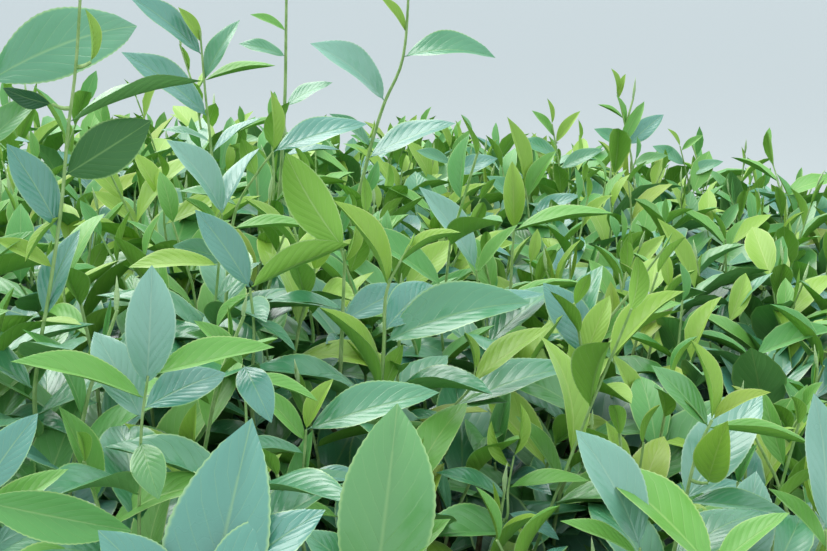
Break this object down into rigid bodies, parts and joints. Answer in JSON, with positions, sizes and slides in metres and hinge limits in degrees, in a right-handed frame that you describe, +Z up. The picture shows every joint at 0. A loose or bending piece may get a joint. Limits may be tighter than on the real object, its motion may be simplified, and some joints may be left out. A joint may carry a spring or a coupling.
{
  "type": "tea bush",
  "caption": "Low plucked tea bush: short forked trunk, spreading frame of boughs and a broad flat-topped leafy crown with young shoots above the table.",
  "frame": {"origin": "middle of the trunk's flat cut at ground level", "axes": "+Z up; +X along the crown's longer half, towards its slightly lower end; +Y along its width"},
  "size_m": [1.9763, 1.6197, 1.1337],
  "materials": {
    "bark": "rough grey-brown bark of an old low-cut shrub",
    "foliage": "softly glossy evergreen leaves, bluish green when grown and yellow-green when young"
  },
  "bodies": {
    "root": {"trunk": "bark", "bough_middle": "bark", "bough_1_main": "bark", "bough_1_side": "bark", "bough_1_top": "bark", "bough_2_main": "bark", "bough_2_side": "bark", "bough_2_top": "bark", "bough_3_main": "bark", "bough_3_side": "bark", "bough_3_top": "bark", "bough_4_main": "bark", "bough_4_side": "bark", "bough_4_top": "bark", "bough_5_main": "bark", "bough_5_side": "bark", "bough_5_top": "bark", "foliage_top_middle": "foliage", "foliage_top_1": "foliage", "foliage_top_2": "foliage", "foliage_top_3": "foliage", "foliage_top_4": "foliage", "foliage_top_5": "foliage", "foliage_side_1": "foliage", "foliage_side_2": "foliage", "foliage_side_3": "foliage", "foliage_side_4": "foliage", "foliage_side_5": "foliage", "foliage_side_6": "foliage", "foliage_side_7": "foliage", "foliage_side_8": "foliage", "foliage_side_9": "foliage", "foliage_side_10": "foliage"}
  },
  "joints": []
}
